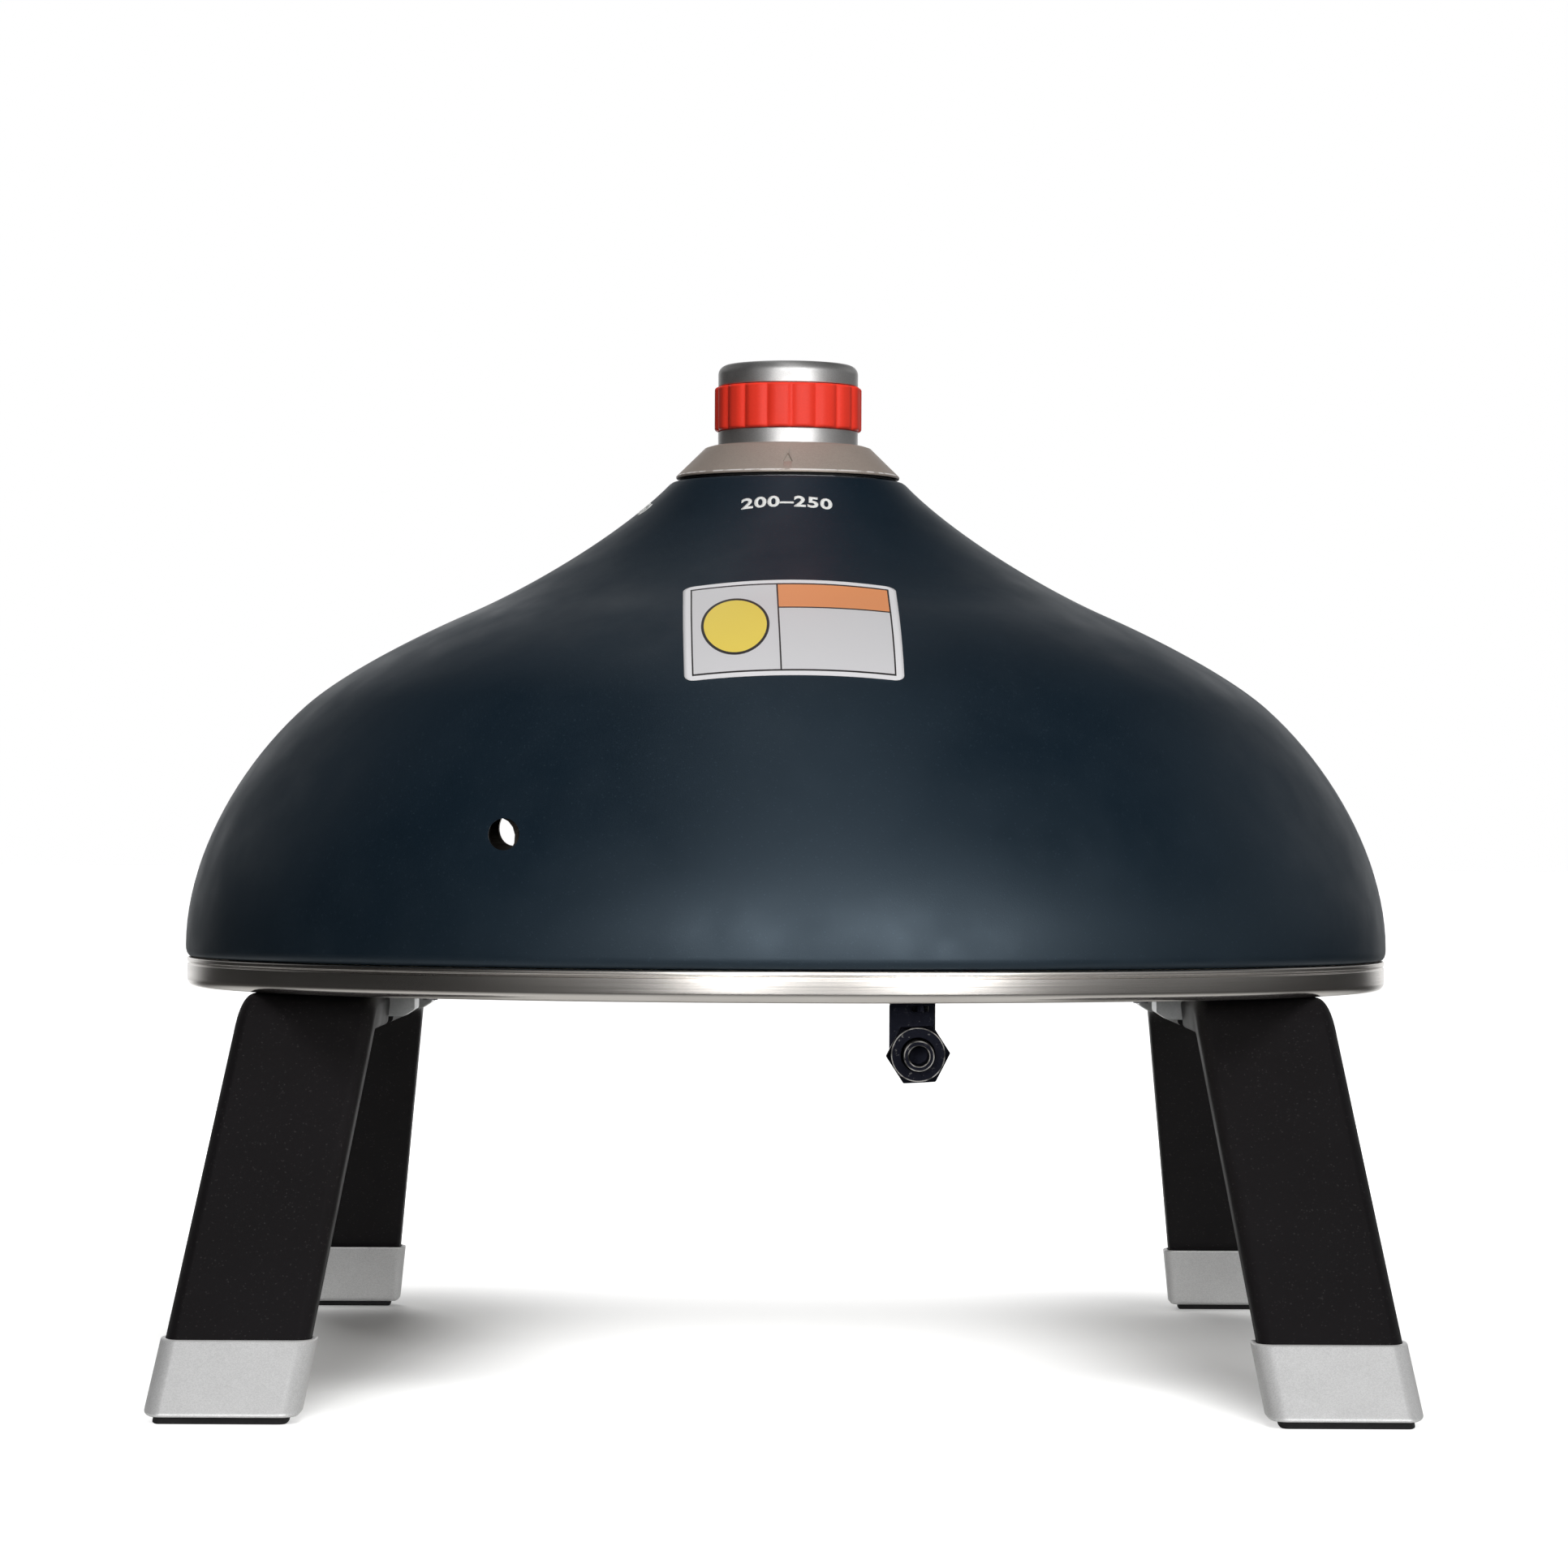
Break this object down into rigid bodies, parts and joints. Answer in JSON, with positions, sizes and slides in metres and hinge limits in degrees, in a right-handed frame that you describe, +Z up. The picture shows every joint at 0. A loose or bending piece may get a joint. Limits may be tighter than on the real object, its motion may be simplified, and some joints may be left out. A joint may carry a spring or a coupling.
{
  "type": "portable pizza oven",
  "caption": "Domed portable gas pizza oven with a push-and-turn dial on its crown, a sliding baking stone and two leg frames that fold in under the base.",
  "frame": {"origin": "on the floor, straight below the dome's axis, midway between the four feet", "axes": "+Z up along the dome's axis, +Y out of the mouth, +X to the right of someone who looks at the back, where the gas inlet is"},
  "size_m": [0.56, 0.5894, 0.467],
  "materials": {
    "powder_coat": "matte petrol blue-black powder coat with a fine fleck",
    "brushed_steel": "brushed round the rim",
    "liner_steel": "mill finish, slightly heat-stained",
    "wool": "ceramic fibre blanket",
    "board": "calcium silicate board, matte",
    "cordierite": "fired, fine grained, matte",
    "black_metal": "black oxide, worn at the edges",
    "cast_aluminium": "as cast",
    "taupe_paint": "satin warm grey paint",
    "silver_paint": "satin silver paint with a fine metallic flake",
    "red_plastic": "satin red",
    "brass": "machined",
    "spring_steel": "bright drawn",
    "ceramic": "unglazed alumina",
    "copper_pipe": "drawn copper tube",
    "soft_black": "plain black",
    "soft_black_legs": "soft-touch black with a fine fleck",
    "silver_plastic": "satin silver with a fine metallic flake",
    "bracket_steel": "zinc plated, satin",
    "rubber": "matte black"
  },
  "bodies": {
    "oven": {"base_pan": "brushed_steel", "base_board": "board", "hearth_plate": "liner_steel", "dome_shell": "powder_coat", "dome_liner": "liner_steel", "insulation_blanket": "wool", "mouth_frame": "black_metal", "crown_ring": "cast_aluminium", "neck_gasket": "rubber", "dial_collar": "taupe_paint", "valve_plate": "brushed_steel", "crown_screw_1": "spring_steel", "crown_screw_2": "spring_steel", "crown_screw_3": "spring_steel", "valve_body": "brass", "valve_bonnet": "brass", "magnet_unit": "brass", "thermocouple": "spring_steel", "igniter": "soft_black", "igniter_electrode": "ceramic", "igniter_lead": "soft_black", "gas_jet": "brass", "mixing_tube": "liner_steel", "burner_bell": "cast_aluminium", "burner_lid": "cast_aluminium", "inlet_bracket": "black_metal", "inlet_screw": "spring_steel", "inlet_elbow": "black_metal", "lock_nut": "black_metal", "gas_pipe": "copper_pipe", "hinge_pin_left_front": "spring_steel", "hinge_pin_left_rear": "spring_steel", "hinge_pin_right_front": "spring_steel", "hinge_pin_right_rear": "spring_steel", "hinge_bracket_left_front": "bracket_steel", "hinge_bracket_left_rear": "bracket_steel", "hinge_bracket_right_front": "bracket_steel", "hinge_bracket_right_rear": "bracket_steel", "bracket_screw_left_front": "spring_steel", "bracket_screw_left_rear": "spring_steel", "bracket_screw_right_front": "spring_steel", "bracket_screw_right_rear": "spring_steel"},
    "tap": {"valve_plug": "brass", "return_spring": "spring_steel"},
    "dial": {"dial_cap": "silver_paint", "dial_grip": "red_plastic", "valve_spindle": "spring_steel"},
    "stone": {"pizza_stone": "cordierite"},
    "left_legs": {"leg_frame_left": "soft_black_legs", "foot_cap_left_front": "silver_plastic", "foot_cap_left_rear": "silver_plastic", "foot_pad_left_front": "rubber", "foot_pad_left_rear": "rubber"},
    "right_legs": {"leg_frame_right": "soft_black_legs", "foot_cap_right_front": "silver_plastic", "foot_cap_right_rear": "silver_plastic", "foot_pad_right_front": "rubber", "foot_pad_right_rear": "rubber"}
  },
  "joints": [
    {"name": "tap_turn", "type": "hinge", "parent": "oven", "child": "tap", "pos_m": [0, 0, 0.429], "axis": [0, 0, 1], "range_deg": [0, 210]},
    {"name": "dial_push", "type": "slide", "parent": "tap", "child": "dial", "axis": [0, 0, -1], "range_m": [0, 0.004], "stiffness_N_per_m": 2500, "springref_m": -0.002, "deforming": ["return_spring"]},
    {"name": "stone_slide", "type": "slide", "parent": "oven", "child": "stone", "axis": [0, 1, 0], "range_m": [0, 0.45]},
    {"name": "left_legs_fold", "type": "hinge", "parent": "oven", "child": "left_legs", "pos_m": [-0.18344, 0, 0.1677], "axis": [0, -1, 0], "range_deg": [0, 96]},
    {"name": "right_legs_fold", "type": "hinge", "parent": "oven", "child": "right_legs", "pos_m": [0.18344, 0, 0.1677], "axis": [0, 1, 0], "range_deg": [0, 96]}
  ]
}
